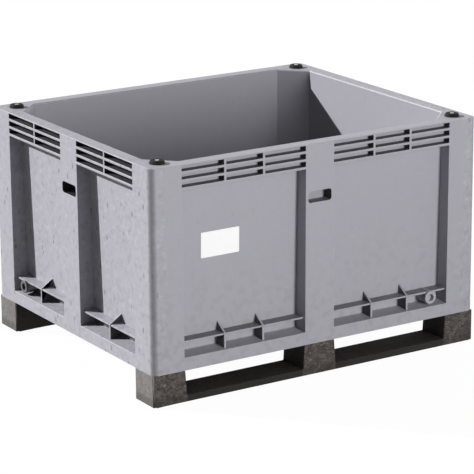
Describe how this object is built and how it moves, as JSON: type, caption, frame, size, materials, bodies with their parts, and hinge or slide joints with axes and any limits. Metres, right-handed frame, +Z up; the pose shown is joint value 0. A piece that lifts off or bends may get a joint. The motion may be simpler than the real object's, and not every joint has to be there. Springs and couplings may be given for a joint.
{
  "type": "plastic pallet box",
  "caption": "Open-topped plastic pallet box with ribbed rim, recessed wall panels, hand holds, stacking studs and screw drain plugs, on runners for forks.",
  "frame": {"origin": "on the floor under the middle of the box, at the middle of the bounding box's bottom", "axes": "+X along the long sides, +Y along the short sides towards the rear, +Z up"},
  "size_m": [1.2, 1, 0.7503],
  "materials": {
    "body_grey": "satin moulded HDPE",
    "runner_brown": "coarse, speckled recycled plastic",
    "screw_zinc": "zinc plated",
    "stud_black": "matt",
    "seal_black": "matt",
    "plug_grey": "satin",
    "label_white": "smooth, bare"
  },
  "bodies": {
    "box": {"box_body": "body_grey", "label_plate": "label_white", "runner_front": "runner_brown", "runner_rear": "runner_brown", "runner_screw_front_left_1": "screw_zinc", "runner_screw_front_left_2": "screw_zinc", "runner_screw_front_middle_1": "screw_zinc", "runner_screw_front_middle_2": "screw_zinc", "runner_screw_front_right_1": "screw_zinc", "runner_screw_front_right_2": "screw_zinc", "runner_screw_rear_left_1": "screw_zinc", "runner_screw_rear_left_2": "screw_zinc", "runner_screw_rear_middle_1": "screw_zinc", "runner_screw_rear_middle_2": "screw_zinc", "runner_screw_rear_right_1": "screw_zinc", "runner_screw_rear_right_2": "screw_zinc", "stud_front_left": "stud_black", "stud_front_right": "stud_black", "stud_rear_left": "stud_black", "stud_rear_right": "stud_black", "stud_screw_front_left": "screw_zinc", "stud_screw_front_right": "screw_zinc", "stud_screw_rear_left": "screw_zinc", "stud_screw_rear_right": "screw_zinc"},
    "front_seal": {"drain_seal_front": "seal_black"},
    "front_plug": {"drain_plug_front": "plug_grey"},
    "left_seal": {"drain_seal_left": "seal_black"},
    "left_plug": {"drain_plug_left": "plug_grey"}
  },
  "joints": [
    {"name": "front_plug_travel", "type": "slide", "parent": "box", "child": "front_seal", "axis": [0, -1, 0], "range_m": [0, 0.0105]},
    {"name": "front_plug_turn", "type": "hinge", "parent": "front_seal", "child": "front_plug", "pos_m": [0.431, -0.49, 0.17], "axis": [0, -1, 0], "range_deg": [0, 1080]},
    {"name": "left_plug_travel", "type": "slide", "parent": "box", "child": "left_seal", "axis": [-1, 0, 0], "range_m": [0, 0.0105]},
    {"name": "left_plug_turn", "type": "hinge", "parent": "left_seal", "child": "left_plug", "pos_m": [-0.59, 0.331, 0.17], "axis": [-1, 0, 0], "range_deg": [0, 1080]}
  ],
  "couplings": [
    {"joint": "front_plug_turn", "follows": "front_plug_travel", "rad_per_m": 1795},
    {"joint": "left_plug_turn", "follows": "left_plug_travel", "rad_per_m": 1795}
  ]
}
